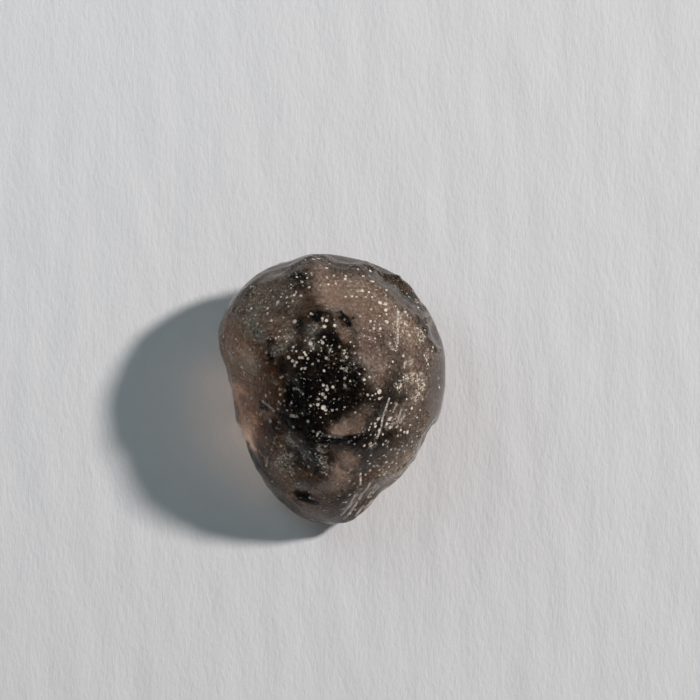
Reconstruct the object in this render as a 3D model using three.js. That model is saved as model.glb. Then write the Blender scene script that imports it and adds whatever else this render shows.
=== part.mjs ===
// A pear-shaped pebble of smoky natural glass, in millimetres, +Z up. It lies on a worn flat spot,
// with its length along Y and its narrow, blunt end towards -Y. The origin is under the middle of
// its box, on the surface that it rests on. Like the real stone it is one piece: a rounded body
// whose skin is a patchwork of shallow ball-shaped hollows that meet in low crests.
import * as THREE from "three";
import { mergeVertices } from "three/addons/utils/BufferGeometryUtils.js";

// Driving dimensions
const LENGTH = 26;
const WIDTH = 21.9;
const HEIGHT = 15.5;
const GIRDLE_RISE_X = 0.05; // rise of the girdle for each millimetre along X
const GIRDLE_RISE_Y = 0.19; // and along Y, so the narrow end is thin and lies low
const TIP_START = -4; // from here towards the narrow end the girdle also curves down
const TIP_DROP = 0.028; // by this much for each square millimetre of the way along
const FLAT_WEAR = 0.3; // thickness worn off the underside at the flat spot
const SWELL_SHARE = 0.02; // size of the slow swells in the skin, as a share of its height
const CREST_ROUNDING = 0.45; // width over which a hollow's edge is rounded off
const BALL_DETAIL = 17; // the starting ball has 20 * (detail + 1)^2 triangles
const OUTLINE_STEPS = 720;
const MERGE_DISTANCE = 1e-4;

// The two halves of the rounded body, above and below the girdle. A power of 2 makes the half's
// section elliptical, less makes its flanks slope and more makes its shoulders full.
const TOP = { side: 1, depth: 9.9, power: 1.75 };
const UNDERSIDE = { side: -1, depth: 6.2, power: 2.3 };

// Slow swells in the skin: crossing waves, with their turning along X and Y in radians a millimetre.
const SWELLS = [
  { alongX: 0.34, alongY: 0.21, shift: 1.1 },
  { alongX: -0.37, alongY: 0.29, shift: 2.3 },
];

// The girdle seen from above: the widest outline of the stone, anticlockwise from the right.
const OUTLINE = new THREE.CatmullRomCurve3(
  [
    [10.9, 1.4],
    [10.6, 4.3],
    [9.8, 6.5],
    [8.0, 9.4],
    [6.4, 10.8],
    [3.7, 12.1],
    [-1.3, 13.0],
    [-3.9, 12.2],
    [-5.9, 11.6],
    [-8.7, 9.2],
    [-10.3, 6.4],
    [-10.9, 4.0],
    [-10.15, 1.95],
    [-9.15, -0.4],
    [-8.85, -2.9],
    [-7.85, -5.7],
    [-6.0, -9.25],
    [-3.75, -12.05],
    [-1.2, -12.95],
    [2.3, -12.9],
    [3.5, -11.6],
    [4.5, -10.2],
    [6.0, -9.1],
    [8.4, -6.1],
    [9.3, -4.3],
    [10.1, -3.0],
    [10.7, -0.6],
  ].map(([x, y]) => new THREE.Vector3(x, y, 0)),
  true,
  "centripetal",
);

// Hollows: where each one lies as seen from above, the radius of the ball that would fit it, and
// how far it dips below the rounded body.
const RIM_SCARS = [
  { at: [5.2, 11.0], ball: 5.0, depth: 0.7 },
  { at: [7.7, 9.2], ball: 4.2, depth: 0.8 },
  { at: [10.2, 5.0], ball: 5.0, depth: 0.55 },
  { at: [1.0, 12.4], ball: 8.0, depth: 0.5 },
  { at: [-5.1, 11.6], ball: 11.0, depth: 0.45 },
  { at: [-9.6, 0.8], ball: 6.0, depth: 0.2 },
  { at: [9.1, -4.5], ball: 3.0, depth: 0.4 },
  { at: [-4.6, -10.8], ball: 4.0, depth: 0.4 },
  { at: [4.2, -10.0], ball: 7.0, depth: 0.15 },
  { at: [-8.1, -4.8], ball: 9.0, depth: 0.25 },
];
const TOP_HOLLOWS = [
  { at: [1.0, 8.7], ball: 10.0, depth: 0.5 },
  { at: [3.9, 2.5], ball: 12.0, depth: 0.25 },
  { at: [0.6, -2.5], ball: 6.0, depth: 0.75 },
  { at: [1.0, -7.4], ball: 6.0, depth: 0.4 },
  { at: [-7.5, 3.0], ball: 5.0, depth: 0.4 },
  { at: [-3.6, 5.0], ball: 10.0, depth: 0.4 },
  { at: [-6.9, 7.7], ball: 14.0, depth: 0.3 },
  { at: [-3.8, -0.2], ball: 3.8, depth: 0.3 },
  { at: [-6.6, -2.6], ball: 4.0, depth: 0.3 },
  { at: [-4.0, -6.8], ball: 9.0, depth: 0.4 },
  { at: [-2.6, -10.2], ball: 1.8, depth: 0.45 },
  { at: [7.2, 0.6], ball: 5.0, depth: 0.3 },
  { at: [6.8, 4.8], ball: 4.0, depth: 0.22 },
  { at: [5.6, -3.6], ball: 5.5, depth: 0.4 },
  { at: [4.6, -7.4], ball: 10.0, depth: 0.3 },
  { at: [1.5, 6.5], ball: 1.2, depth: 0.4 },
  { at: [-0.4, 1.2], ball: 9.0, depth: 0.45 },
];
const UNDER_HOLLOWS = [
  { at: [7.2, 7.0], ball: 9.0, depth: 0.6 },
  { at: [9.6, 0.4], ball: 5.0, depth: 0.4 },
  { at: [7.2, -5.0], ball: 8.0, depth: 0.5 },
  { at: [2.8, -10.4], ball: 5.0, depth: 0.3 },
  { at: [-3.4, -9.6], ball: 7.0, depth: 0.4 },
  { at: [-7.0, -4.4], ball: 9.0, depth: 0.5 },
  { at: [-9.2, 2.6], ball: 4.5, depth: 0.4 },
  { at: [-7.6, 7.8], ball: 8.5, depth: 0.5 },
  { at: [-2.4, 11.0], ball: 6.0, depth: 0.5 },
  { at: [3.4, 10.4], ball: 4.0, depth: 0.4 },
  { at: [-5.2, 4.4], ball: 7.0, depth: 0.35 },
  { at: [5.4, 3.0], ball: 5.0, depth: 0.3 },
  { at: [0.6, -7.4], ball: 6.0, depth: 0.3 },
];

function tableOfRadii(curve) {
  const radii = curve.getPoints(OUTLINE_STEPS).map((point) => {
    return { angle: Math.atan2(point.y, point.x), radius: Math.hypot(point.x, point.y) };
  });
  radii.sort((first, second) => first.angle - second.angle);
  return radii;
}

function radiusAt(radii, angle) {
  const after = radii.findIndex((entry) => entry.angle > angle);
  if (after <= 0) {
    return radii[0].radius;
  }
  const low = radii[after - 1];
  const high = radii[after];
  const share = (angle - low.angle) / (high.angle - low.angle);
  return THREE.MathUtils.lerp(low.radius, high.radius, share);
}

// How high the girdle is at a place in plan. The underside levels out towards its lowest point, so
// that the stone rests steadily.
function girdleHeight(x, y, half, share) {
  const drop = TIP_DROP * Math.min(y - TIP_START, 0) ** 2;
  const rise = GIRDLE_RISE_X * x + GIRDLE_RISE_Y * y - drop;
  return half === TOP ? rise : rise * (1 - share);
}

// The rounded body: the outline swept up and down along superelliptical sections.
function bodyPoint(direction, radii) {
  const half = direction.z > 0 ? TOP : UNDERSIDE;
  const across = Math.hypot(direction.x, direction.y);
  const up = Math.abs(direction.z);
  const fullness = (across ** half.power + up ** half.power) ** (-1 / half.power);
  const azimuth = Math.atan2(direction.y, direction.x);
  const reach = across * fullness * radiusAt(radii, azimuth);
  const share = up * fullness;
  const x = reach * Math.cos(azimuth);
  const y = reach * Math.sin(azimuth);
  const z = girdleHeight(x, y, half, share) + half.side * half.depth * share;
  return new THREE.Vector3(x, y, z);
}

function addSwells(point) {
  const waves = SWELLS.map(({ alongX, alongY, shift }) => {
    return Math.sin(alongX * point.x + alongY * point.y + shift);
  });
  const swell = waves.reduce((sum, wave) => sum + wave);
  point.z *= 1 + SWELL_SHARE * swell;
}

function roundedMinimum(first, second, rounding) {
  const overlap = Math.max(rounding - Math.abs(first - second), 0) / rounding;
  return Math.min(first, second) - (overlap * overlap * rounding) / 4;
}

// Where each hollow's ball sits: on the body's outward normal, dipping in by the hollow's depth.
function placeBalls(hollows, half, radii) {
  return hollows.map(({ at: [x, y], ball, depth }) => {
    const azimuth = Math.atan2(y, x);
    const radius = radiusAt(radii, azimuth);
    const reach = Math.min(Math.hypot(x, y) / radius, 1);
    const share = (1 - reach ** half.power) ** (1 / half.power);
    const z = girdleHeight(x, y, half, share) + half.side * half.depth * share;
    const sideways = reach ** (half.power - 1) / radius;
    const outward = new THREE.Vector3(
      sideways * Math.cos(azimuth),
      sideways * Math.sin(azimuth),
      (half.side * share ** (half.power - 1)) / half.depth,
    ).normalize();
    const centre = new THREE.Vector3(x, y, z).addScaledVector(outward, ball - depth);
    return { centre, radius: ball };
  });
}

// Each point only slides along its own line from the middle of the stone, so the skin never folds.
function takeOutHollows(point, balls) {
  const outward = point.clone().normalize();
  let distance = point.length();
  for (const { centre, radius } of balls) {
    const along = outward.dot(centre);
    const missSquared = centre.lengthSq() - along * along;
    if (along > 0 && missSquared < radius * radius) {
      const entry = along - Math.sqrt(radius * radius - missSquared);
      distance = roundedMinimum(distance, entry, CREST_ROUNDING);
    }
  }
  point.copy(outward).multiplyScalar(distance);
}

function wearFlatSpot(point) {
  const floor = FLAT_WEAR - UNDERSIDE.depth;
  if (point.z < floor) {
    point.multiplyScalar(floor / point.z);
    point.z = floor;
  }
}

function fitToSize(geometry) {
  geometry.computeBoundingBox();
  const box = geometry.boundingBox;
  const size = box.getSize(new THREE.Vector3());
  const middle = box.getCenter(new THREE.Vector3());
  geometry.translate(-middle.x, -middle.y, -box.min.z);
  geometry.scale(WIDTH / size.x, LENGTH / size.y, HEIGHT / size.z);
}

function makeStone() {
  const ball = new THREE.IcosahedronGeometry(1, BALL_DETAIL);
  ball.deleteAttribute("normal");
  ball.deleteAttribute("uv");
  const geometry = mergeVertices(ball, MERGE_DISTANCE);
  const radii = tableOfRadii(OUTLINE);
  const balls = [
    ...placeBalls([...RIM_SCARS, ...TOP_HOLLOWS], TOP, radii),
    ...placeBalls(UNDER_HOLLOWS, UNDERSIDE, radii),
  ];
  const position = geometry.getAttribute("position");
  const direction = new THREE.Vector3();
  for (let i = 0; i < position.count; i += 1) {
    direction.fromBufferAttribute(position, i).normalize();
    const point = bodyPoint(direction, radii);
    addSwells(point);
    takeOutHollows(point, balls);
    wearFlatSpot(point);
    position.setXYZ(i, point.x, point.y, point.z);
  }
  fitToSize(geometry);
  geometry.computeVertexNormals();
  const smokyGlass = new THREE.MeshStandardMaterial({
    color: 0x584a42,
    roughness: 0.4,
    metalness: 0,
  });
  const stone = new THREE.Mesh(geometry, smokyGlass);
  stone.name = "stone";
  return stone;
}

const tektite = new THREE.Group();
tektite.add(makeStone());

export default tektite;
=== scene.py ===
import math

import bmesh
import bpy
import numpy as np
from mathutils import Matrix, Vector

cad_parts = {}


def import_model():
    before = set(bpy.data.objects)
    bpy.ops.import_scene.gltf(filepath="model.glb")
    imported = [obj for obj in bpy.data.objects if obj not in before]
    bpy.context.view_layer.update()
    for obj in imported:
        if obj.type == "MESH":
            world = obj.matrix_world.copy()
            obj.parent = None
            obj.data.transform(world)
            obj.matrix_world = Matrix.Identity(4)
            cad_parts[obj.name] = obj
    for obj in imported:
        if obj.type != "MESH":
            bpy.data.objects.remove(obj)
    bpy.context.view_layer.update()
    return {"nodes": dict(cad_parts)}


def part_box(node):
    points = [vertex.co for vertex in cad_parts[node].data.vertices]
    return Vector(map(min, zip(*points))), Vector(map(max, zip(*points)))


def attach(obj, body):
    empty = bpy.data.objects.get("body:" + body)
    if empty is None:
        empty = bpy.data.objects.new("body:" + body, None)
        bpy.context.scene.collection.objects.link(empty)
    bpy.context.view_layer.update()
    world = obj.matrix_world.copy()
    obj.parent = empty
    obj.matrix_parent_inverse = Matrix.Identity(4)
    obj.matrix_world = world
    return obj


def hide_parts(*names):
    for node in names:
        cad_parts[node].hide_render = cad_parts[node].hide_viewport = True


MM = 0.001

# Camera: straight above the stone, its view's up towards the broad end.
VIEW_WIDTH = 67.1 * MM  # width of the picture at the height of the stone's girdle
CAMERA_DISTANCE = 1000 * MM
SENSOR = 36.0  # in Blender's sensor millimetres
CLIP_START = 1 * MM
CLIP_END = 10_000 * MM
STONE_OFF_CENTRE = Vector((-1.8, -3.8, 0)) * MM  # the stone lies left of and below the middle

# Light: one key from the right, narrow and low enough to throw a long clear shadow, over a dim
# bluish fill and a broad soft window on the far left. Powers are in watts.
KEY_AZIMUTH = math.radians(25.4)
KEY_ELEVATION = math.radians(38)
KEY_DISTANCE = 900 * MM
KEY_SIZE = 97 * MM
KEY_POWER = 7.5
KEY_COLOUR = (1.0, 0.94, 0.93)
FILL_COLOUR = (0.78, 0.93, 1.0)
FILL_STRENGTH = 0.12
WINDOW_PLACE = Vector((-85, 85, 100)) * MM  # from the middle of the stone
WINDOW_SIZE = 100 * MM
WINDOW_POWER = 0.038
HORIZON_STRENGTH = 0.33  # the world is paler close to the horizon, behind the floor
HORIZON_HEIGHT = 0.2  # sine of the elevation where that ends

# The paper. From here on, lengths without a unit are in millimetres.
FLOOR_HALF = 800 * MM  # from the middle of the paper to its edge
PAPER_COLOUR = (0.8, 0.8, 0.8)
PAPER_GRAIN = 0.45
PAPER_GRAIN_STRETCH = (1.0, 0.35, 1.0)  # less than 1 draws the grain out along that axis
PAPER_WAVES = 4.0
PAPER_WAVE_HEIGHT = 3.0  # times the height of the grain
PAPER_BUMP = 0.17

# The stone's fine mesh
SEED = 11
SUBDIVISIONS = 2
WELD_DISTANCE = 0.001
WARP = 0.3  # how far the edges of the patches wander
WARP_WAVELENGTH = 1.7
WARP_SHIFTS = (0.3, 1.1, 2.7)  # one for each axis, so that the three differ
SCAR_EDGE = 0.25  # width of a scar's soft edge
CREST_HALF_WIDTH = 0.3
SCRATCH_HALF_WIDTH = 0.26
DARK_LINE_HALF_WIDTH = 0.45
DARK_LINE_STRENGTH = 1.6  # more than 1 keeps the middle of the line fully dark
CHIP_SPREAD = 1.1  # chips are drawn this many times wider than listed
FLANK_FADE = 2.5  # the flank's paint is full on upright skin and ends where the normal's z is 1 / this

# Relief
RIPPLES = [(0.06, 5.3, 0.4), (0.03, 2.3, 1.9)]  # (height, wavelength, shift)
SCALLOPS = 240
SCALLOP_RADII = (0.6, 1.8)
SCALLOP_DEPTH = (0.04, 0.07)  # share of the radius, drawn once for all scallops
PITS = 520
PIT_RADII = (0.2, 0.4)
PIT_DEPTH = 0.25  # share of the radius
SCAR_CALM = 0.8  # share of the relief that is missing in the smooth scars
CREST_RISE = 0.13
CHIP_DEPTH = 0.05
SCRATCH_DEPTH = 0.04
LIFT = 0.1  # the relief is cut from a skin raised by this, so that the stone keeps its size

# Random patches on the flanks and the underside, painted glow and glints among them: (paint, how many,
# largest radius)
LOW_PATCHES = [("glow", 14, 2.4), ("red", 10, 1.6), ("film", 12, 2.2), ("dust_and_glints", 16, 1.2)]

# Linear colours of the glass and of what lies on it, and of the painted light and shade
COLOURS = {
    "brown glass": (0.6, 0.43, 0.32),
    "pale glass": (0.86, 0.68, 0.53),
    "flank": (0.9, 0.76, 0.63),
    # painted shade
    "shade": (0.035, 0.022, 0.016),
    "film": (0.095, 0.094, 0.078),
    # painted glow, and below it the same glow on the side away from the light
    "glow": (0.25, 0.153, 0.114),
    "ember": (0.58, 0.41, 0.32),
    "red": (0.2, 0.085, 0.055),
    # painted shade in the darkest depths
    "dark": (0.008, 0.006, 0.006),
    # painted reflection: the grey sheen of the smooth scars
    "scar": (0.19, 0.172, 0.165),
    "wrinkle": (0.4, 0.32, 0.25),
    # dust, partly painted glints
    "dust": (0.88, 0.81, 0.69),
    "crest": (0.36, 0.33, 0.31),
    "scratch": (0.6, 0.55, 0.48),
    # pale broken skin, partly painted glints
    "speck": (0.84, 0.76, 0.64),
}
# The order in which the paint is laid, from the depths up, and how much each one covers
LAYERS = [("flank", 1.0), ("shade", 1.0), ("film", 0.85), ("glow", 0.95), ("ember", 1.0), ("red", 0.7)]
GLASS_IOR = 1.5
SMOKE_COLOUR = (0.72, 0.61, 0.53)
SMOKE_DENSITY = 85.0  # per metre
SKIN_BUMP = 0.07

# Everything below is placed on the top of the stone, in millimetres from the middle of its box.
# Dabs are soft round patches: (x, y, radius, strength).
DABS = {
    # painted glow: clear spots where light that has gone through the stone shines back out warm
    "glow": [
        (-0.4, 9.4, 1.5, 0.6), (0.6, 8.5, 1.4, 0.75), (1.8, 9.6, 1.7, 0.45), (2.6, 7.8, 1.5, 0.6),
        (-0.9, 10.8, 1.2, 0.45), (3.4, 9.8, 1.7, 0.35), (3.0, 6.5, 1.1, 0.4), (-1.3, 11.6, 0.9, 0.35),
        (4.8, 8.4, 1.7, 0.35), (5.4, 6.4, 2.0, 0.4), (7.2, 6.4, 1.7, 0.35), (7.4, 4.4, 2.0, 0.35),
        (7.8, 1.8, 2.2, 0.35), (8.2, -1.0, 1.8, 0.35), (4.5, 2.6, 1.4, 0.6), (4.4, 1.0, 1.2, 0.45),
        (3.4, 4.6, 1.3, 0.5), (3.2, 3.2, 1.0, 0.35),
        (1.3, 5.2, 0.6, 0.8), (0.9, 5.9, 0.6, 0.45), (0.3, -4.0, 0.45, 0.6), (0.9, -3.8, 0.75, 0.8),
        (1.7, -3.5, 1.0, 0.75), (2.5, -2.9, 0.85, 0.6), (3.2, -2.0, 0.9, 0.5), (2.4, -3.9, 0.6, 0.5),
        (1.4, -6.0, 0.9, 0.8), (1.7, -6.9, 1.0, 0.9), (0.6, -7.6, 0.9, 0.7), (0.8, -8.6, 1.0, 0.8),
        (-0.2, -9.2, 0.9, 0.95), (-1.0, -9.3, 0.6, 0.45), (-8.0, 2.8, 1.4, 0.85), (-7.4, 2.0, 0.9, 0.6),
        (-9.2, 3.6, 1.3, 0.5), (-9.6, 4.8, 1.2, 0.3), (-9.2, 1.2, 1.2, 0.3), (-8.9, -0.6, 1.1, 0.25),
        (5.7, -2.5, 1.3, 0.4), (7.6, -3.0, 1.5, 0.3), (5.8, -6.2, 2.4, 0.25), (4.6, -7.8, 1.7, 0.25),
        (1.4, -12.0, 1.8, 0.12),
    ],
    # painted glow, the same on the side away from the light, where it has to be paler to show
    "ember": [
        (-8.0, 2.8, 1.4, 0.95), (-7.4, 2.0, 0.9, 0.5), (-9.2, 3.6, 1.3, 0.5), (-9.6, 4.8, 1.2, 0.35),
        (-9.2, 1.2, 1.2, 0.35), (-9.0, -0.2, 0.9, 0.15), (-0.2, -9.2, 1.1, 1.0), (-1.0, -9.3, 0.6, 0.5),
        (0.8, -8.5, 1.1, 0.7), (0.5, -7.6, 0.9, 0.6), (1.5, -6.6, 1.2, 0.5), (1.2, -3.8, 1.1, 0.4),
        (-5.3, 0.8, 0.5, 0.2),
    ],
    # painted shade: wide darker depths under the clear spots
    "shade": [
        (-1.5, 0.5, 3.2, 0.8), (-4.2, -1.5, 2.6, 0.75), (-1.5, 4.0, 2.6, 0.6), (-4.5, 3.0, 2.4, 0.6),
        (-6.4, -4.6, 2.6, 0.6), (-3.5, -6.5, 3.0, 0.65), (-6.8, -1.5, 2.0, 0.5), (1.8, 1.2, 1.8, 0.7),
        (0.5, -5.2, 2.0, 0.6), (4.4, -5.0, 2.2, 0.45), (-5.5, -9.0, 2.4, 0.65), (0.0, -11.0, 3.2, 0.6),
        (4.4, -9.4, 2.2, 0.45), (-3.0, 6.8, 2.2, 0.4), (-3.2, 10.2, 1.8, 0.5), (-6.5, 9.5, 2.5, 0.3),
        (8.0, -3.5, 2.0, 0.35), (3.4, -1.2, 1.4, 0.3), (-8.7, -1.6, 1.3, 0.8), (-8.3, -3.6, 1.2, 0.8),
        (-7.6, -5.4, 1.3, 0.8), (-9.3, 0.3, 1.1, 0.6), (6.4, -6.6, 2.4, 0.35), (4.0, 3.6, 2.4, 0.3),
        (-5.4, 8.0, 3.0, 0.4), (0.0, -12.2, 2.2, 0.7), (-6.2, -8.0, 1.8, 0.6), (6.8, 3.0, 2.6, 0.2),
    ],
    # warmer, redder glass
    "red": [
        (-6.4, -3.5, 0.9, 1.0), (-8.5, -0.6, 0.9, 0.6), (-7.9, -2.0, 0.8, 0.8), (-7.0, -4.9, 1.0, 0.6),
        (3.6, 4.8, 1.5, 0.75), (4.4, 6.4, 1.0, 0.4), (2.6, -1.0, 1.0, 0.8), (1.5, -0.3, 0.5, 0.6),
        (3.4, -2.6, 0.6, 0.5), (-0.6, -10.8, 0.8, 0.8), (2.2, -5.0, 0.8, 0.4), (2.9, -6.8, 0.8, 0.6),
        (0.4, 5.4, 0.5, 0.5), (-4.9, -0.6, 0.4, 0.5), (5.0, -9.0, 0.7, 0.3), (-5.4, -7.6, 0.7, 0.4),
        (5.0, 0.8, 0.8, 0.5),
    ],
    # greenish-grey film
    "film": [
        (-7.6, 6.8, 1.0, 1.0), (-7.0, 5.4, 1.0, 1.0), (-8.2, 5.9, 0.8, 0.5), (-4.9, 4.0, 1.0, 0.8),
        (-4.0, 5.0, 0.8, 0.9), (-5.5, 3.5, 0.6, 0.5), (-1.5, 5.5, 0.9, 0.7), (-1.5, 4.3, 0.8, 0.8),
        (-5.6, 0.9, 0.6, 0.8), (-2.3, 3.7, 0.6, 0.5), (-5.0, 8.6, 2.4, 0.4), (-7.4, 8.8, 1.8, 0.4),
        (-2.9, -9.0, 0.8, 0.9), (-3.4, -8.1, 0.7, 0.6), (-3.4, 1.6, 1.2, 0.3), (0.3, 0.6, 0.9, 0.3),
        (-4.2, -6.6, 1.6, 0.4), (-1.6, 2.2, 1.0, 0.3),
        (-6.6, 8.6, 2.4, 0.5), (-4.4, 6.6, 1.8, 0.35),
    ],
    # pale dust in the wrinkles of crushed skin, partly painted glints where the crinkled skin catches the
    # light
    "dust_and_glints": [
        (-3.8, -5.0, 0.8, 1.0), (-4.4, -6.2, 0.95, 1.0), (-4.9, -7.1, 0.9, 1.0), (-4.0, -7.6, 0.8, 0.9),
        (-0.9, -5.6, 0.6, 0.7), (-0.8, -6.8, 0.7, 0.9), (-0.5, -7.6, 0.5, 0.9), (-2.6, -6.4, 0.7, 0.8),
        (-2.3, -5.7, 0.5, 0.5), (-0.1, 3.5, 0.5, 0.9), (1.4, 3.2, 0.5, 1.0), (1.4, 2.2, 0.45, 1.0),
        (1.3, 0.3, 0.4, 0.7), (8.5, 5.2, 0.75, 1.0), (5.8, 4.2, 0.65, 0.8), (9.2, 3.3, 0.5, 0.8),
        (7.5, 2.7, 0.6, 0.6), (8.4, 1.3, 0.9, 0.5), (8.6, 0.5, 0.8, 0.6), (8.3, -0.5, 0.8, 0.7),
        (6.4, 0.3, 0.8, 0.7), (7.4, 1.2, 0.9, 0.6), (10.2, 1.1, 0.35, 0.9), (10.3, 0.3, 0.3, 0.9),
        (5.7, -3.1, 0.7, 0.9), (6.6, -2.8, 0.7, 0.6), (4.6, -2.7, 0.4, 0.8), (4.0, -5.1, 0.6, 0.9),
        (6.3, 6.6, 1.0, 0.35), (7.2, 6.2, 0.8, 0.4), (-7.5, 2.2, 0.9, 0.4), (-1.7, 5.8, 0.8, 0.5),
        (-3.2, 8.6, 1.0, 0.4), (-4.4, 9.4, 0.8, 0.35), (-7.6, 6.8, 0.7, 0.4), (-6.9, 5.3, 0.8, 0.5),
        (-6.2, -0.2, 0.9, 0.35), (-1.8, 4.4, 0.6, 0.6), (8.6, -4.6, 0.8, 0.4), (6.8, -6.0, 1.6, 0.35),
        (3.9, -7.2, 1.0, 0.3), (5.2, -7.9, 0.7, 0.5), (2.4, 2.6, 0.7, 0.4), (8.3, 8.3, 0.7, 0.5),
        (3.2, -9.8, 0.9, 0.3), (-5.0, 3.9, 0.8, 0.4), (-4.0, 5.0, 0.6, 0.5),
    ],
    # painted shade: the darkest depths
    "dark": [
        (-1.7, -2.5, 1.0, 1.0), (-1.2, -3.4, 0.8, 1.0), (-0.6, -4.9, 0.7, 1.0), (0.5, -5.0, 0.7, 1.0),
        (-2.0, -4.7, 0.8, 0.9), (-3.0, -3.8, 0.7, 0.8), (-4.1, -3.1, 0.7, 0.8), (-4.8, -2.4, 0.6, 0.8),
        (-5.3, -3.6, 0.5, 0.8), (-3.7, -0.9, 1.2, 0.8), (-1.8, 0.2, 1.3, 0.9), (-0.1, -1.3, 1.2, 0.9),
        (0.6, -2.4, 0.8, 0.7), (2.3, 0.6, 0.7, 0.9), (2.4, 1.8, 0.6, 0.7), (-5.9, 3.2, 0.6, 0.9),
        (-5.7, 4.5, 0.6, 0.8), (-1.5, 7.2, 0.7, 1.0), (-0.8, 7.1, 0.5, 0.8), (-2.9, 6.3, 0.8, 0.8),
        (1.5, 6.6, 0.55, 1.0), (1.1, 7.1, 0.35, 0.9), (-0.3, 5.0, 0.8, 1.0), (0.2, 4.4, 0.6, 0.8),
        (-3.5, 11.0, 0.8, 0.9), (-2.7, 10.6, 0.7, 0.7), (-1.2, 3.0, 0.8, 0.8), (-2.4, 2.7, 0.7, 0.6),
        (-2.6, -10.1, 0.9, 1.0), (-1.8, -10.7, 0.7, 0.9), (-3.3, -9.8, 0.5, 0.9), (4.5, -3.2, 0.5, 0.9),
        (4.2, -2.4, 0.5, 0.6), (-6.3, -1.6, 0.7, 0.8), (-1.5, -6.6, 0.5, 0.8), (-6.8, -6.6, 1.0, 0.5),
        (1.1, -10.3, 0.9, 0.7), (2.1, -9.6, 0.7, 0.6), (-7.9, 9.2, 0.5, 0.6), (3.5, 11.3, 0.3, 0.5),
        (-4.6, 2.2, 0.8, 0.6), (1.0, 1.6, 0.9, 0.7), (-1.6, -8.0, 0.6, 0.6), (5.4, -4.3, 0.6, 0.5),
        (7.6, 9.0, 0.9, 0.6), (8.6, -3.4, 0.6, 0.4), (6.9, -0.8, 0.5, 0.5), (0.1, 7.4, 0.35, 0.5),
        (-3.0, 9.8, 0.7, 0.4), (-4.6, 7.5, 0.9, 0.4), (-1.4, -0.4, 2.6, 0.5), (-3.4, -2.2, 2.0, 0.5),
        (-0.6, 4.0, 2.0, 0.4), (1.6, 1.3, 1.5, 0.5), (-1.7, -6.0, 1.5, 0.5), (-5.2, -8.8, 1.3, 0.4),
        (0.4, -11.0, 2.2, 0.4), (5.2, -9.4, 1.4, 0.25), (2.6, -5.2, 1.1, 0.4), (-6.6, -8.2, 1.0, 0.4),
        (-3.4, 10.3, 1.3, 0.4), (-7.2, -6.6, 1.4, 0.4), (-9.2, -1.0, 0.9, 0.55), (-8.9, -2.2, 1.1, 0.6),
        (-8.4, -3.6, 1.2, 0.65), (-8.0, -4.9, 1.2, 0.65), (-7.5, -6.1, 1.2, 0.65), (-6.7, -7.6, 1.1, 0.75),
        (-5.7, -9.2, 1.0, 0.7), (1.2, -12.2, 1.6, 0.6), (-0.8, -12.3, 1.4, 0.6), (-4.6, -10.2, 0.9, 0.6),
        (-5.0, 1.8, 1.0, 0.5), (-2.6, 2.2, 1.5, 0.5), (-0.4, -6.4, 0.6, 0.4), (-7.7, -3.4, 1.1, 0.5),
        (-7.3, -4.8, 1.1, 0.55), (-6.8, -6.0, 1.0, 0.5), (-8.3, -1.7, 1.1, 0.4), (-4.8, -5.0, 0.6, 0.5),
        (-5.8, -6.2, 0.7, 0.5), (-3.2, -6.0, 0.5, 0.6), (-3.6, 0.6, 1.2, 0.5),
    ],
}

# These have wide, even edges; the edges of the others are firmer and wander.
SOFT = ("glow", "ember", "shade", "red", "film")

# Areas of smooth skin in the scars along the rim, painted grey as a reflection of the sky, as outlines of
# their corners.
SCARS = [
    [
        (-9.9, 8.4), (-8.2, 9.5), (-6.3, 11.0), (-4.4, 11.5), (-2.8, 12.1), (-1.4, 13.4), (-6.5, 13.2),
        (-10.5, 10.0),
    ],
    [(-6.9, 10.1), (-5.5, 10.3), (-4.2, 11.0), (-4.0, 11.6), (-5.0, 11.3), (-6.2, 10.9)],
    [
        (-1.4, 13.4), (-0.6, 12.5), (0.5, 12.0), (1.2, 11.8), (2.6, 11.75), (3.4, 11.9), (3.6, 12.5),
        (1.5, 13.5),
    ],
    [(3.4, 12.6), (3.4, 11.95), (4.1, 11.3), (5.0, 10.9), (6.5, 10.7), (6.5, 11.9)],
    [
        (4.0, 11.2), (4.5, 10.0), (5.4, 9.2), (6.1, 8.4), (7.6, 7.2), (8.6, 6.7), (9.6, 7.2), (8.4, 7.5),
        (7.2, 8.0), (6.5, 8.8), (6.2, 9.8), (5.4, 10.2),
    ],
    [(9.3, 6.7), (9.1, 5.6), (9.3, 4.8), (9.9, 4.0), (11.2, 3.4), (11.0, 6.0), (9.9, 7.0)],
    [(9.6, 3.5), (11.4, 3.4), (11.3, -1.6), (10.4, -3.6), (9.3, -2.8), (9.1, -0.6), (9.5, 1.2)],
    [(-4.9, -9.8), (-4.0, -10.2), (-3.2, -10.9), (-2.4, -12.0), (-2.1, -13.0), (-3.2, -12.4), (-4.1, -11.2)],
]

# Strokes are lines through their points.
CRESTS = [
    [(-8.4, 9.3), (-7.2, 10.3), (-6.2, 11.0), (-5.0, 11.4), (-4.0, 11.6), (-3.0, 12.1), (-1.6, 12.8)],
    [(-6.9, 10.0), (-5.6, 10.3), (-4.7, 10.8), (-4.0, 11.5)],
    [(-0.9, 12.8), (-0.1, 12.3), (0.9, 11.9), (2.4, 11.8), (3.2, 11.9)],
    [(3.3, 12.0), (4.2, 11.3), (5.0, 10.9), (6.4, 10.7)],
    [(4.1, 11.1), (4.5, 10.1), (5.4, 9.2), (6.1, 8.4), (6.9, 7.8), (7.7, 7.2), (8.5, 6.7), (9.3, 6.9)],
    [(6.3, 9.5), (6.5, 8.7), (7.0, 8.1), (7.8, 7.7)],
    [(9.4, 6.6), (9.1, 5.8), (9.2, 5.0), (9.7, 4.2), (10.5, 3.7)],
    [(-5.4, -9.2), (-4.4, -9.8), (-3.5, -10.5), (-2.9, -11.2), (-2.4, -11.9), (-1.9, -12.7)],
    [(-0.6, -4.2), (0.3, -4.3), (1.0, -4.35)],
]
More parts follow.
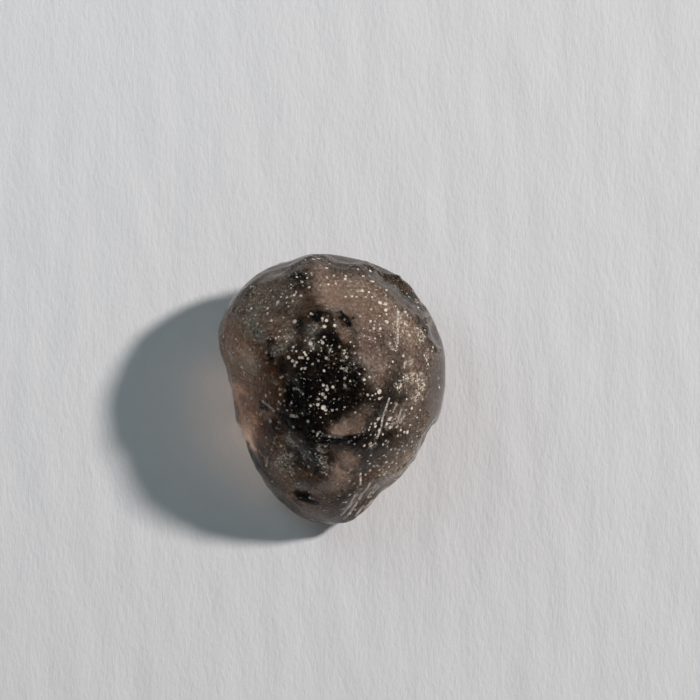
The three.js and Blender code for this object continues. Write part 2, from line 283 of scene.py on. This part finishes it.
# Painted shade: the sharp dark lip under the bright crescent, and one small dark pit
DARK_LINES = [
    [(-1.9, -4.2), (-0.7, -4.4), (0.4, -4.6), (1.2, -4.7), (2.2, -4.65), (3.1, -4.4)],
    [(1.1, 6.9), (1.5, 6.5), (1.7, 6.2)],
]
SCRATCHES = [
    [(5.55, -0.8), (5.3, -1.6), (4.9, -2.6), (4.7, -3.6), (4.4, -4.6)],
    [(6.2, -1.2), (5.95, -2.1)],
    [(6.7, -1.8), (6.4, -2.9)],
    [(7.0, -2.3), (6.6, -3.2)],
    [(3.7, -8.9), (3.2, -9.7), (2.7, -10.6)],
    [(4.3, -9.0), (3.9, -9.7), (3.5, -10.4)],
    [(4.6, -9.3), (4.0, -9.9)],
    [(2.8, -8.3), (2.8, -9.1)],
    [(2.3, -10.0), (1.9, -10.9)],
    [(2.5, -10.9), (1.2, -12.4)],
    [(2.0, -10.8), (0.9, -12.0)],
    [(3.1, -11.2), (2.3, -12.1)],
    [(3.9, -10.6), (3.1, -11.5)],
    [(-6.0, -6.4), (-6.2, -7.3)],
    [(-3.6, 0.15), (-3.1, 0.05), (-2.7, -0.3)],
    [(-6.5, -1.1), (-6.0, -1.5), (-5.6, -1.8)],
    [(7.05, 2.6), (7.0, 2.1)],
    [(6.35, 7.6), (6.3, 6.2), (6.35, 4.4)],
]

# Chips: small pits whose broken skin is bright, painted pale partly as glints, (x, y, radius).
CHIPS = [
    (-5.0, 8.4, 0.18), (-4.8, 8.9, 0.13), (-6.0, 7.7, 0.16), (-6.0, 7.2, 0.13), (-5.6, 6.6, 0.14),
    (-3.5, 6.6, 0.2), (-3.5, 9.0, 0.13), (-2.9, 9.0, 0.14), (-2.7, 10.3, 0.15), (-2.3, 10.7, 0.12),
    (-2.1, 9.8, 0.14), (-4.2, 8.8, 0.13), (-4.0, 8.0, 0.12), (-5.2, 8.1, 0.12), (-7.6, 9.8, 0.12),
    (-7.5, 7.7, 0.14), (-8.5, 6.9, 0.11), (-9.1, 4.8, 0.12), (-7.3, 4.7, 0.12), (-10.6, 5.3, 0.12),
    (-1.9, 7.3, 0.13), (-0.8, 6.8, 0.14), (-0.4, 6.6, 0.16), (-0.6, 6.0, 0.18), (0.3, 6.1, 0.16),
    (-2.5, 4.7, 0.14), (-1.9, 4.4, 0.2), (-1.6, 12.4, 0.16), (-1.2, 12.5, 0.15), (-0.4, 11.6, 0.16),
    (-0.2, 10.0, 0.12), (-0.8, 4.5, 0.16), (-4.0, 3.1, 0.17), (-3.7, 2.8, 0.17), (-3.6, 4.0, 0.15),
    (-3.3, 3.6, 0.13), (-3.0, 3.1, 0.16), (-2.7, 3.1, 0.12), (-2.4, 3.3, 0.14), (-2.6, 3.6, 0.12),
    (-3.3, 2.6, 0.14), (-3.5, 2.3, 0.15), (-2.4, 2.2, 0.15), (-2.8, 2.1, 0.12), (-3.3, 1.1, 0.15),
    (-4.1, 1.5, 0.11), (-4.8, 1.1, 0.14), (-4.6, 1.3, 0.13), (-4.2, 4.6, 0.12), (-5.4, 3.6, 0.12),
    (-8.5, 2.1, 0.15), (-8.3, 1.7, 0.12), (-8.4, 1.4, 0.12), (-0.7, 1.8, 0.14), (-0.5, 3.1, 0.16),
    (-0.8, 0.4, 0.12), (-0.4, 0.4, 0.11), (-0.4, 0.1, 0.17), (0.2, 0.3, 0.16), (-0.8, -0.4, 0.17),
    (-0.6, -0.6, 0.15), (-1.2, -0.8, 0.15), (-1.2, -1.4, 0.16), (-0.8, -1.7, 0.24), (-0.5, -1.9, 0.14),
    (-2.0, -1.5, 0.14), (-2.6, -0.4, 0.13), (-3.8, -1.2, 0.12), (-4.9, 0.1, 0.12), (-4.8, -0.5, 0.15),
    (-5.0, -1.1, 0.12), (-4.8, -1.4, 0.12), (-5.1, -1.8, 0.13), (-5.5, -2.0, 0.14), (-5.8, -0.3, 0.12),
    (-6.2, -0.6, 0.14), (-7.7, 0.9, 0.12), (-7.7, 0.1, 0.12), (-7.6, -0.8, 0.12), (-8.2, -1.4, 0.12),
    (-3.8, -2.4, 0.16), (-3.5, -2.5, 0.17), (-3.3, -2.6, 0.14), (-2.8, -2.2, 0.13), (-2.2, -3.0, 0.16),
    (-1.7, -3.9, 0.13), (-1.2, -4.1, 0.13), (-3.6, -3.5, 0.14), (-5.1, -3.1, 0.13), (-5.8, -3.0, 0.2),
    (-7.9, -2.9, 0.18), (-7.1, -2.2, 0.13), (-6.8, -2.4, 0.12), (-7.2, -3.2, 0.12), (-7.4, -3.7, 0.13),
    (-6.2, -4.5, 0.14), (-5.4, -5.1, 0.16), (-4.8, -5.4, 0.14), (-5.7, -5.7, 0.12), (-6.9, -5.9, 0.14),
    (-6.3, -6.4, 0.13), (-7.8, -5.6, 0.18), (-2.1, -5.9, 0.15), (-1.5, -6.0, 0.14), (0.1, -2.0, 0.13),
    (1.3, -1.6, 0.12), (2.2, -2.1, 0.14), (1.3, 1.1, 0.15), (1.3, 0.4, 0.16), (1.8, 0.8, 0.12),
    (2.7, 1.5, 0.12), (3.7, 1.3, 0.12), (3.1, 1.1, 0.16), (4.6, -0.1, 0.23), (4.6, -0.8, 0.16),
    (3.5, -0.4, 0.14), (3.9, -0.5, 0.12), (6.9, 3.3, 0.15), (5.8, 2.7, 0.12), (5.2, -1.7, 0.12),
    (4.5, -2.7, 0.2), (4.8, -3.0, 0.15), (3.8, -3.2, 0.12), (4.2, -3.4, 0.16), (3.7, -3.8, 0.12),
    (4.6, -3.8, 0.18), (4.9, -4.3, 0.13), (5.3, -3.2, 0.17), (5.6, -3.6, 0.18), (5.4, -5.0, 0.12),
    (3.2, -5.3, 0.16), (7.3, -4.0, 0.19), (7.7, -4.9, 0.12), (7.7, -1.8, 0.14), (7.5, -3.4, 0.13),
    (7.2, -5.3, 0.12), (6.5, -5.7, 0.13), (6.1, -5.6, 0.12), (6.6, -3.9, 0.13), (5.3, -6.9, 0.15),
    (1.3, 10.6, 0.16), (0.4, 10.1, 0.12), (3.0, 9.4, 0.15), (3.6, 9.3, 0.12), (4.0, 8.8, 0.13),
    (2.0, 8.9, 0.12), (2.4, 8.7, 0.12), (1.4, 8.8, 0.12), (4.6, 8.3, 0.19), (5.1, 8.2, 0.18),
    (5.2, 7.6, 0.16), (3.8, 6.6, 0.14), (5.3, 6.5, 0.18), (4.7, 5.8, 0.15), (4.0, 5.9, 0.12),
    (3.9, 10.3, 0.19), (3.1, 10.9, 0.15), (3.7, 11.3, 0.15), (2.6, 11.5, 0.12), (7.0, 7.3, 0.15),
    (7.1, 6.3, 0.15), (7.5, 5.2, 0.14), (9.4, 7.0, 0.15), (6.4, 7.5, 0.14), (5.2, 9.4, 0.13),
    (10.6, 3.5, 0.13), (1.4, -10.8, 0.16), (0.8, -10.1, 0.14), (1.7, -10.1, 0.17), (1.2, -11.4, 0.13),
    (-2.1, -9.9, 0.14), (-2.0, -10.3, 0.16), (-2.2, -7.4, 0.16), (-1.9, -8.1, 0.12), (-4.5, -8.2, 0.16),
    (-3.7, -8.1, 0.14), (-5.9, -8.0, 0.13), (-5.7, -9.2, 0.12), (-5.4, -9.7, 0.12), (-6.2, -7.3, 0.15),
    (0.6, -10.5, 0.1), (1.1, -10.8, 0.1), (2.2, -9.8, 0.1), (1.8, -8.7, 0.12), (0.6, -9.0, 0.12),
    (2.8, -8.7, 0.15), (3.3, -8.1, 0.12), (4.6, -8.1, 0.12), (5.3, -7.8, 0.12), (4.7, -7.7, 0.1),
    (5.0, -6.2, 0.13), (5.5, -7.4, 0.13), (5.8, -6.9, 0.12), (6.2, -7.0, 0.13), (6.3, -7.5, 0.1),
    (5.7, -5.6, 0.12), (6.4, -6.1, 0.14), (7.0, -5.9, 0.1), (7.6, -5.4, 0.12), (7.9, -5.9, 0.12),
    (8.1, -5.2, 0.1), (4.9, -5.2, 0.1), (4.4, -7.2, 0.12), (3.8, -6.2, 0.12), (3.5, -6.8, 0.1),
    (2.7, -6.2, 0.1), (2.2, -5.1, 0.1), (6.9, -4.1, 0.14), (5.4, -7.9, 0.1), (4.9, -7.3, 0.1),
    (-3.2, -5.4, 0.12), (-2.9, -4.9, 0.1), (-4.3, -5.0, 0.12), (-5.0, -6.5, 0.12), (-5.3, -7.2, 0.12),
    (-4.4, -7.0, 0.14), (-3.9, -6.4, 0.13), (-3.6, -7.1, 0.11), (-4.9, -7.9, 0.12), (-3.1, -7.6, 0.1),
    (-2.7, -7.0, 0.1), (-2.0, -6.7, 0.12), (-1.3, -7.2, 0.12), (-0.6, -7.3, 0.13), (-1.0, -6.4, 0.11),
    (-0.4, -8.0, 0.12), (-1.1, -5.4, 0.1), (-6.1, -5.2, 0.1), (-7.2, -4.6, 0.1), (-6.6, -3.2, 0.1),
    (-7.4, 5.8, 0.1), (-7.0, 6.3, 0.1), (-6.6, 5.6, 0.1), (-7.9, 6.2, 0.1), (-7.2, 7.1, 0.11),
    (-4.3, 8.3, 0.1), (-4.6, 9.2, 0.1), (-3.6, 8.5, 0.1), (-3.2, 9.3, 0.1), (-3.8, 9.7, 0.1),
    (2.8, -8.1, 0.14), (3.8, -7.7, 0.14), (4.1, -7.3, 0.12), (3.7, -7.0, 0.14), (5.0, -8.1, 0.17),
]


# ---------------------------------------------------------------- the stone's mesh


def read_points(mesh):
    points = np.empty(len(mesh.vertices) * 3)
    mesh.vertices.foreach_get("co", points)
    return points.reshape(-1, 3) / MM


def read_normals(mesh):
    normals = np.empty(len(mesh.vertices) * 3)
    mesh.vertices.foreach_get("normal", normals)
    return normals.reshape(-1, 3)


def write_points(mesh, points):
    mesh.vertices.foreach_set("co", (points * MM).ravel())
    mesh.update()


def write_attribute(mesh, name, values):
    attribute = mesh.attributes.new(name, "FLOAT", "POINT")
    attribute.data.foreach_set("value", values.astype(np.float32))


def fine_copy(source):
    """The CAD solid's mesh, welded and subdivided smooth."""
    work = bmesh.new()
    work.from_mesh(source.data)
    bmesh.ops.remove_doubles(work, verts=work.verts, dist=WELD_DISTANCE * MM)
    mesh = bpy.data.meshes.new("stone_coarse")
    work.to_mesh(mesh)
    work.free()
    stone = bpy.data.objects.new("glass_stone", mesh)
    bpy.context.scene.collection.objects.link(stone)
    smooth = stone.modifiers.new("smooth", "SUBSURF")
    smooth.levels = smooth.render_levels = SUBDIVISIONS
    bpy.context.view_layer.update()
    evaluated = stone.evaluated_get(bpy.context.evaluated_depsgraph_get())
    stone.modifiers.clear()
    stone.data = bpy.data.meshes.new_from_object(evaluated)
    return stone


def wavy(points, wavelength, shift):
    """A smooth pattern between about -1 and 1, made of waves whose factors keep them from lining up."""
    turns = 2 * math.pi / wavelength
    x, y, z = points.T * turns
    pattern = np.sin(x + 0.7 * y + shift) * np.cos(0.8 * z - 0.6 * x + 2.1 * shift)
    pattern += np.sin(1.3 * y - 0.9 * z + 1.7 * shift) * np.cos(0.5 * x + 1.1 * y - shift)
    return pattern / 1.4


class Skin:
    """The stone's skin as points in millimetres, measured from the middle of its box."""

    def __init__(self, mesh, middle):
        self.middle = np.array(middle) / MM
        self.points = read_points(mesh) - self.middle
        self.normals = read_normals(mesh)
        wander = [wavy(self.points, WARP_WAVELENGTH, shift) for shift in WARP_SHIFTS]
        self.wandering = self.points + WARP * np.stack(wander, axis=1)

    def top_point(self, x, y):
        """The point of the upper skin that lies nearest to a place in plan."""
        away = np.hypot(self.points[:, 0] - x, self.points[:, 1] - y)
        too_far = 5  # added where the skin faces down, so that it never comes out nearest
        return self.points[np.argmin(away + too_far * (self.normals[:, 2] < 0))]

    def dabs(self, spots, soft=False):
        """Round patches that build up where they overlap; soft ones have a wide, even edge."""
        place, edge = (self.points, 2) if soft else (self.wandering, 3)
        left = np.ones(len(self.points))
        for x, y, radius, strength in spots:
            distance = np.linalg.norm(place - self.top_point(x, y), axis=1) / radius
            left *= 1 - strength * np.exp(-(distance**edge))
        return 1 - left

    def dots(self, spots):
        """Cones around small spots: 1 in the middle, a half at the spot's radius, then 0."""
        weight = np.zeros(len(self.points))
        for x, y, radius in spots:
            distance = np.linalg.norm(self.points - self.top_point(x, y), axis=1)
            weight = np.maximum(weight, 1 - 0.5 * distance / (radius * CHIP_SPREAD))
        return weight

    def distance_to(self, lines, place):
        """How far each place is from the lines, seen from above."""
        nearest = np.full(len(place), np.inf)
        for line in lines:
            for start, end in zip(line, line[1:]):
                start = np.array(start)
                along = np.array(end) - start
                share = np.clip((place - start) @ along / (along @ along), 0, 1)
                gap = np.linalg.norm(place - start - share[:, None] * along, axis=1)
                nearest = np.minimum(nearest, gap)
        return nearest

    def strokes(self, lines, half_width):
        """Lines that fade to nothing at half_width from their middle."""
        away = self.distance_to(lines, self.points[:, :2])
        return np.clip(1 - away / half_width, 0, 1) * (self.normals[:, 2] > 0)

    def areas(self, outlines, softness):
        """1 inside any of the outlines, seen from above, and 0 outside, with soft edges."""
        place = self.wandering[:, :2]
        x, y = place.T
        weight = np.zeros(len(self.points))
        for corners in outlines:
            closed = corners + corners[:1]
            inside = np.zeros(len(self.points), dtype=bool)
            for (x0, y0), (x1, y1) in zip(closed, closed[1:]):
                if y0 != y1:
                    crossing = x0 + (y - y0) * (x1 - x0) / (y1 - y0)
                    inside ^= ((y0 > y) != (y1 > y)) & (x < crossing)
            edge = np.where(inside, 1, -1) * self.distance_to([closed], place)
            weight = np.maximum(weight, np.clip(0.5 + edge / softness, 0, 1))
        steepest = -0.1  # skin whose normal's z is below this faces down and is left out
        return weight * (self.normals[:, 2] > steepest)

    def bowls(self, centres, radii, depths):
        """How deep each point sinks into shallow round bowls."""
        sink = np.zeros(len(self.points))
        for centre, radius, depth in zip(centres, radii, depths):
            near = np.abs(self.points - centre).max(axis=1) < radius
            distance = np.linalg.norm(self.points[near] - centre, axis=1) / radius
            sink[near] = np.maximum(sink[near], depth * np.clip(1 - distance**2, 0, 1))
        return sink

    def random_places(self, rng, count):
        return self.points[rng.integers(0, len(self.points), count)]


def scatter_below(skin, rng, count, largest):
    """Random patches for the flanks and the underside, where nothing is listed."""
    low = skin.points[skin.normals[:, 2] < 0.1]
    weight = np.zeros(len(skin.points))
    for centre in low[rng.integers(0, len(low), count)]:
        radius = rng.uniform(0.4, 1) * largest
        distance = np.linalg.norm(skin.wandering - centre, axis=1) / radius
        weight = np.maximum(weight, rng.uniform(0.4, 1) * np.exp(-(distance**3)))
    # nothing where the normal's z is above -0.1, and everything below -0.6
    return weight * np.clip(-0.2 - 2 * skin.normals[:, 2], 0, 1)


def roughen(skin, rng, scars, crests, chips, scratches):
    """Natural relief: slow ripples, scallops, round pits, crests along the scars, chips, scratches."""
    ripple = sum(height * wavy(skin.points, wavelength, shift) for height, wavelength, shift in RIPPLES)
    radii = rng.uniform(*SCALLOP_RADII, SCALLOPS)
    scallop = skin.bowls(skin.random_places(rng, SCALLOPS), radii, rng.uniform(*SCALLOP_DEPTH) * radii)
    radii = rng.uniform(*PIT_RADII, PITS)
    pit = skin.bowls(skin.random_places(rng, PITS), radii, PIT_DEPTH * radii)
    depth = (scallop + pit - ripple) * (1 - SCAR_CALM * scars) - LIFT
    depth = depth - CREST_RISE * crests + CHIP_DEPTH * chips + SCRATCH_DEPTH * scratches
    return skin.points - skin.normals * depth[:, None]


def make_stone(frame):
    stone = fine_copy(frame["nodes"]["stone"])
    low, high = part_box("stone")
    rng = np.random.default_rng(SEED)
    skin = Skin(stone.data, (low + high) / 2)
    scars = skin.areas(SCARS, SCAR_EDGE)
    crests = skin.strokes(CRESTS, CREST_HALF_WIDTH)
    chips = skin.dots(CHIPS)
    scratches = skin.strokes(SCRATCHES, SCRATCH_HALF_WIDTH)
    paint = {name: skin.dabs(spots, soft=name in SOFT) for name, spots in DABS.items()}
    dark_lines = DARK_LINE_STRENGTH * skin.strokes(DARK_LINES, DARK_LINE_HALF_WIDTH)
    paint["dark"] = np.maximum(paint["dark"], np.minimum(1, dark_lines))
    for name, count, largest in LOW_PATCHES:
        paint[name] = np.maximum(paint[name], scatter_below(skin, rng, count, largest))
    flank = np.clip(1 - FLANK_FADE * skin.normals[:, 2], 0, 1)
    paint |= {"scar": scars, "crest": crests, "chip": chips, "scratch": scratches, "flank": flank}
    # The skin stays inside the CAD solid's box, and its resting spot stays flat.
    points = roughen(skin, rng, scars, crests, chips, scratches) + skin.middle
    write_points(stone.data, np.clip(points, np.array(low) / MM, np.array(high) / MM))
    for name, weight in paint.items():
        write_attribute(stone.data, name, weight)
    stone.data.shade_smooth()
    stone.data.materials.clear()
    stone.data.materials.append(smoky_glass())
    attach(stone, "root")
    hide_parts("stone")


# ---------------------------------------------------------------- materials


class Nodes:
    """A material's node tree, with short calls to add and join nodes."""

    def __init__(self, name):
        self.material = bpy.data.materials.new(name)
        self.material.use_nodes = True
        self.tree = self.material.node_tree
        self.tree.nodes.clear()

    def add(self, kind, inputs=None, **settings):
        made = self.tree.nodes.new(kind)
        for key, value in settings.items():
            setattr(made, key, value)
        for key, value in (inputs or {}).items():
            self.plug(made.inputs[key], value)
        return made

    def plug(self, socket, value):
        if isinstance(value, bpy.types.Node):
            value = value.outputs[0]
        if isinstance(value, bpy.types.NodeSocket):
            self.tree.links.new(value, socket)
        elif isinstance(value, tuple) and len(value) == 3 and socket.type == "RGBA":
            socket.default_value = (*value, 1.0)
        else:
            socket.default_value = value

    def attribute(self, name):
        return self.add("ShaderNodeAttribute", attribute_name=name).outputs["Fac"]

    def math(self, operation, first, second=0.0):
        return self.add("ShaderNodeMath", {0: first, 1: second}, operation=operation).outputs[0]

    def times(self, first, second):
        return self.math("MULTIPLY", first, second)

    def largest(self, first, *others):
        for other in others:
            first = self.math("MAXIMUM", first, other)
        return first

    def ramp(self, value, low, high, to_low=0.0, to_high=1.0):
        """A smooth step that turns low into to_low and high into to_high."""
        return self.add(
            "ShaderNodeMapRange",
            {"Value": value, "From Min": low, "From Max": high, "To Min": to_low, "To Max": to_high},
            interpolation_type="SMOOTHSTEP",
        ).outputs[0]

    def mix(self, share, first, second, blend="MIX"):
        made = self.add("ShaderNodeMix", data_type="RGBA", blend_type=blend, clamp_factor=True)
        self.plug(made.inputs["Factor"], share)
        colours = [socket for socket in made.inputs if socket.type == "RGBA"]
        self.plug(colours[0], first)
        self.plug(colours[1], second)
        return next(socket for socket in made.outputs if socket.type == "RGBA")

    def millimetres(self):
        coordinates = self.add("ShaderNodeTexCoord").outputs["Object"]
        return self.stretch(coordinates, (1 / MM, 1 / MM, 1 / MM))

    def stretch(self, place, factors):
        return self.add("ShaderNodeVectorMath", {0: place, 1: factors}, operation="MULTIPLY").outputs[0]

    def noise(self, place, size, detail=3.0, roughness=0.55, distortion=0.0):
        return self.add(
            "ShaderNodeTexNoise",
            {
                "Vector": place,
                "Scale": 1 / size,
                "Detail": detail,
                "Roughness": roughness,
                "Distortion": distortion,
            },
        ).outputs[0]

    def wrinkles(self, place, size, width):
        """Thin winding lines, 1 along their middle."""
        pattern = self.noise(place, size, detail=1.0, distortion=0.8)
        away = self.math("ABSOLUTE", self.math("SUBTRACT", pattern, 0.5))
        return self.ramp(away, width, 0.0)

    def specks(self, place, spacing, smallest, largest, share):
        """Round dots of mixed sizes, one to a cell; share is how many of the cells have one."""
        cells = self.add("ShaderNodeTexVoronoi", {"Vector": place, "Scale": 1 / spacing})
        chance = self.add("ShaderNodeSeparateColor", {"Color": cells.outputs["Color"]})
        size = self.ramp(chance.outputs[0], 0.0, 1.0, smallest / spacing, largest / spacing)
        dot = self.ramp(self.math("DIVIDE", cells.outputs["Distance"], size), 1.0, 0.5)
        present = self.math("LESS_THAN", chance.outputs[1], share)
        return self.times(dot, self.times(present, self.ramp(chance.outputs[2], 0.0, 1.0, 0.4, 1.0)))

    def jittered(self, place, size, amount):
        """The same place, pushed about a little, so that round things get ragged edges."""
        push = self.add("ShaderNodeTexNoise", {"Vector": place, "Scale": 1 / size}).outputs["Color"]
        shift = self.stretch(push, (amount, amount, amount))
        return self.add("ShaderNodeVectorMath", {0: place, 1: shift}, operation="ADD").outputs[0]


def smoky_glass():
    nodes = Nodes("smoky_glass")
    place = nodes.millimetres()
    names = ("glow", "ember", "shade", "red", "film", "dust_and_glints", "dark", "scar", "crest", "flank")
    paint = {name: nodes.attribute(name) for name in names}
    glow, dark, scar, flank = (paint[name] for name in ("glow", "dark", "scar", "flank"))
    # The mesh holds chips and scratches as wide cones, which are cut to sharp edges here.
    chip = nodes.ramp(nodes.attribute("chip"), 0.42, 0.6)
    scratch = nodes.ramp(nodes.attribute("scratch"), 0.5, 0.72)

    # Patterns, each with its size in millimetres
    cloud = nodes.noise(place, 2.2, detail=4.0, roughness=0.6)
    grain = nodes.noise(place, 0.3, detail=3.0, roughness=0.7)
    sand = nodes.noise(place, 0.13, detail=1.0)
    worms = nodes.wrinkles(place, 0.42, 0.055)
    crumbs = nodes.noise(place, 0.34, detail=4.0, roughness=0.75)
    ragged = nodes.jittered(place, 0.22, 0.3)

    # Colour of the glass and of what lies on it, with the painted shade and glow, from the depths up.
    base = nodes.mix(nodes.ramp(cloud, 0.38, 0.62), COLOURS["brown glass"], COLOURS["pale glass"])
    for name, cover in LAYERS:
        base = nodes.mix(nodes.times(paint[name], cover), base, COLOURS[name])
    # painted shade in the darkest depths
    base = nodes.mix(nodes.ramp(dark, 0.0, 0.85), base, COLOURS["dark"])
    # painted reflection: the grey sheen of the smooth scars
    base = nodes.mix(nodes.times(scar, 0.85), base, COLOURS["scar"])

    # Fine mottling everywhere, paler along the wrinkles.
    mottle = nodes.ramp(grain, 0.3, 0.7, 0.35, 1.7)
    plain = nodes.ramp(nodes.largest(scar, glow), 0.2, 0.9, 1.0, 0.4)
    mottle = nodes.add("ShaderNodeMix", {0: plain, 2: 1.0, 3: mottle}).outputs[0]
    grey = nodes.add("ShaderNodeCombineColor", {0: mottle, 1: mottle, 2: mottle})
    base = nodes.mix(1.0, base, grey, blend="MULTIPLY")
    lines = nodes.times(nodes.times(worms, plain), nodes.ramp(dark, 0.0, 0.8, 0.14, 0.0))
    base = nodes.mix(lines, base, COLOURS["wrinkle"])

    # Dust, partly painted glints, in the crushed skin, then crests and scratches.
    crumbly = nodes.largest(nodes.ramp(crumbs, 0.53, 0.61), nodes.times(worms, 0.9))
    dust_glint_mask = nodes.times(nodes.ramp(paint["dust_and_glints"], 0.05, 0.85), crumbly)
    base = nodes.mix(dust_glint_mask, base, COLOURS["dust"])
    base = nodes.mix(nodes.times(paint["crest"], 0.6), base, COLOURS["crest"])
    stroke = nodes.times(scratch, nodes.ramp(sand, 0.4, 0.55))
    base = nodes.mix(nodes.times(stroke, 0.9), base, COLOURS["scratch"])

    # Specks in three sizes, few on the clear spots and on the scars, and the listed chips: pale crushed skin
    # and painted glints.
    few = nodes.ramp(nodes.noise(place, 3.1, detail=1.0), 0.36, 0.56, 0.5, 1.0)
    tiny = nodes.times(nodes.specks(ragged, 0.3, 0.05, 0.1, 0.6), few)
    small = nodes.times(nodes.specks(ragged, 0.5, 0.08, 0.16, 0.8), few)
    large = nodes.specks(ragged, 1.1, 0.1, 0.2, 0.35)
    dots = nodes.largest(nodes.times(tiny, 0.8), small, large)
    dots = nodes.times(dots, nodes.ramp(glow, 0.4, 0.95, 1.0, 0.2))
    dots = nodes.largest(dots, nodes.times(chip, nodes.ramp(crumbs, 0.35, 0.6, 0.5, 1.0)))
    dots = nodes.times(dots, nodes.ramp(scar, 0.0, 1.0, 1.0, 0.25))
    base = nodes.mix(dots, base, COLOURS["speck"])

    # How clear it is: dust and painted glints, scars, painted glow and film are dull, and the painted shade
    # of the darkest depths too.
    skin = nodes.largest(dust_glint_mask, dots, stroke)
    clear = nodes.times(nodes.ramp(skin, 0.0, 1.0, 0.98, 0.1), nodes.ramp(scar, 0.0, 1.0, 1.0, 0.7))
    dull = nodes.largest(glow, paint["ember"], paint["film"])
    clear = nodes.times(clear, nodes.ramp(dull, 0.0, 1.0, 1.0, 0.4))
    clear = nodes.times(clear, nodes.ramp(dark, 0.55, 1.0, 1.0, 0.15))

    # Gloss and fine relief, both smoother on the flanks.
    roughness = nodes.ramp(flank, 0.0, 1.0, nodes.ramp(grain, 0.3, 0.7, 0.16, 0.28), 0.05)
    height = nodes.math("ADD", nodes.times(grain, 0.8), nodes.times(worms, 0.35))
    height = nodes.math("ADD", height, nodes.times(sand, 0.35))
    height = nodes.math("ADD", height, nodes.times(dust_glint_mask, 0.8))
    height = nodes.math("SUBTRACT", height, nodes.times(dots, 0.3))
    smooth = nodes.largest(scar, nodes.times(glow, 0.8), flank)
    strength = nodes.ramp(smooth, 0.0, 1.0, 0.45, 0.1)
    bump = nodes.add("ShaderNodeBump", {"Strength": strength, "Distance": SKIN_BUMP * MM, "Height": height})

    # The low specular values take out a highlight that the photo does not show.
    shader = nodes.add(
        "ShaderNodeBsdfPrincipled",
        {
            "Base Color": base,
            "Roughness": roughness,
            "IOR": GLASS_IOR,
            "Specular IOR Level": 0.05,
            "Specular Tint": (0.06, 0.06, 0.06),
            "Transmission Weight": clear,
            "Normal": bump,
        },
    )
    smoke = nodes.add("ShaderNodeVolumeAbsorption", {"Color": SMOKE_COLOUR, "Density": SMOKE_DENSITY})
    nodes.add("ShaderNodeOutputMaterial", {"Surface": shader, "Volume": smoke})
    return nodes.material


def paper():
    nodes = Nodes("white_paper")
    place = nodes.stretch(nodes.millimetres(), PAPER_GRAIN_STRETCH)
    grain = nodes.noise(place, PAPER_GRAIN, detail=4.0, roughness=0.65)
    waves = nodes.noise(place, PAPER_WAVES, detail=1.0)
    height = nodes.math("ADD", grain, nodes.times(waves, PAPER_WAVE_HEIGHT))
    bump = nodes.add("ShaderNodeBump", {"Strength": 0.45, "Distance": PAPER_BUMP * MM, "Height": height})
    shader = nodes.add(
        "ShaderNodeBsdfPrincipled",
        {"Base Color": PAPER_COLOUR, "Roughness": 0.9, "Specular IOR Level": 0.2, "Normal": bump},
    )
    nodes.add("ShaderNodeOutputMaterial", {"Surface": shader})
    return nodes.material


# ---------------------------------------------------------------- floor, light and camera


def make_floor():
    mesh = bpy.data.meshes.new("paper_floor")
    corners = [(x * FLOOR_HALF, y * FLOOR_HALF, 0) for x, y in ((-1, -1), (1, -1), (1, 1), (-1, 1))]
    mesh.from_pydata(corners, [], [(0, 1, 2, 3)])
    mesh.materials.append(paper())
    floor = bpy.data.objects.new("paper_floor", mesh)
    bpy.context.scene.collection.objects.link(floor)


def key_place():
    """Where the key stands, measured from the middle of the stone."""
    level = math.cos(KEY_ELEVATION)
    towards = Vector(
        (level * math.cos(KEY_AZIMUTH), level * math.sin(KEY_AZIMUTH), math.sin(KEY_ELEVATION))
    )
    return towards * KEY_DISTANCE


def make_lamp(name, middle, place, size, power, colour):
    """A disc of light that stands at a place measured from the stone's middle and faces the stone."""
    data = bpy.data.lights.new(name, "AREA")
    data.shape = "DISK"
    data.size = size
    data.energy = power
    data.color = colour
    lamp = bpy.data.objects.new(name, data)
    bpy.context.scene.collection.objects.link(lamp)
    lamp.location = middle + place
    lamp.rotation_euler = place.to_track_quat("Z", "Y").to_euler()


def make_world():
    """A dim bluish dome that gets pale towards the horizon."""
    world = bpy.data.worlds.new("soft_fill")
    world.use_nodes = True
    tree = world.node_tree
    direction = tree.nodes.new("ShaderNodeTexCoord").outputs["Generated"]
    split = tree.nodes.new("ShaderNodeSeparateXYZ")
    tree.links.new(direction, split.inputs[0])
    fade = tree.nodes.new("ShaderNodeMapRange")
    fade.interpolation_type = "SMOOTHSTEP"
    tree.links.new(split.outputs["Z"], fade.inputs["Value"])
    fade.inputs["From Max"].default_value = HORIZON_HEIGHT
    fade.inputs["To Min"].default_value = HORIZON_STRENGTH
    fade.inputs["To Max"].default_value = FILL_STRENGTH
    background = tree.nodes["Background"]
    background.inputs["Color"].default_value = (*FILL_COLOUR, 1.0)
    tree.links.new(fade.outputs[0], background.inputs["Strength"])
    bpy.context.scene.world = world


def make_camera(middle):
    data = bpy.data.cameras.new("camera")
    data.sensor_width = SENSOR
    data.lens = SENSOR * CAMERA_DISTANCE / VIEW_WIDTH
    data.clip_start = CLIP_START
    data.clip_end = CLIP_END
    camera = bpy.data.objects.new("camera", data)
    camera.location = middle - STONE_OFF_CENTRE + Vector((0, 0, CAMERA_DISTANCE))
    bpy.context.scene.collection.objects.link(camera)
    bpy.context.scene.camera = camera


def main():
    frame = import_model()
    low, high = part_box("stone")
    middle = (low + high) / 2
    make_stone(frame)
    make_floor()
    make_lamp("key", middle, key_place(), KEY_SIZE, KEY_POWER, KEY_COLOUR)
    make_lamp("window", middle, WINDOW_PLACE, WINDOW_SIZE, WINDOW_POWER, FILL_COLOUR)
    make_world()
    make_camera(middle)
    bpy.context.scene.view_settings.view_transform = "Standard"


main()
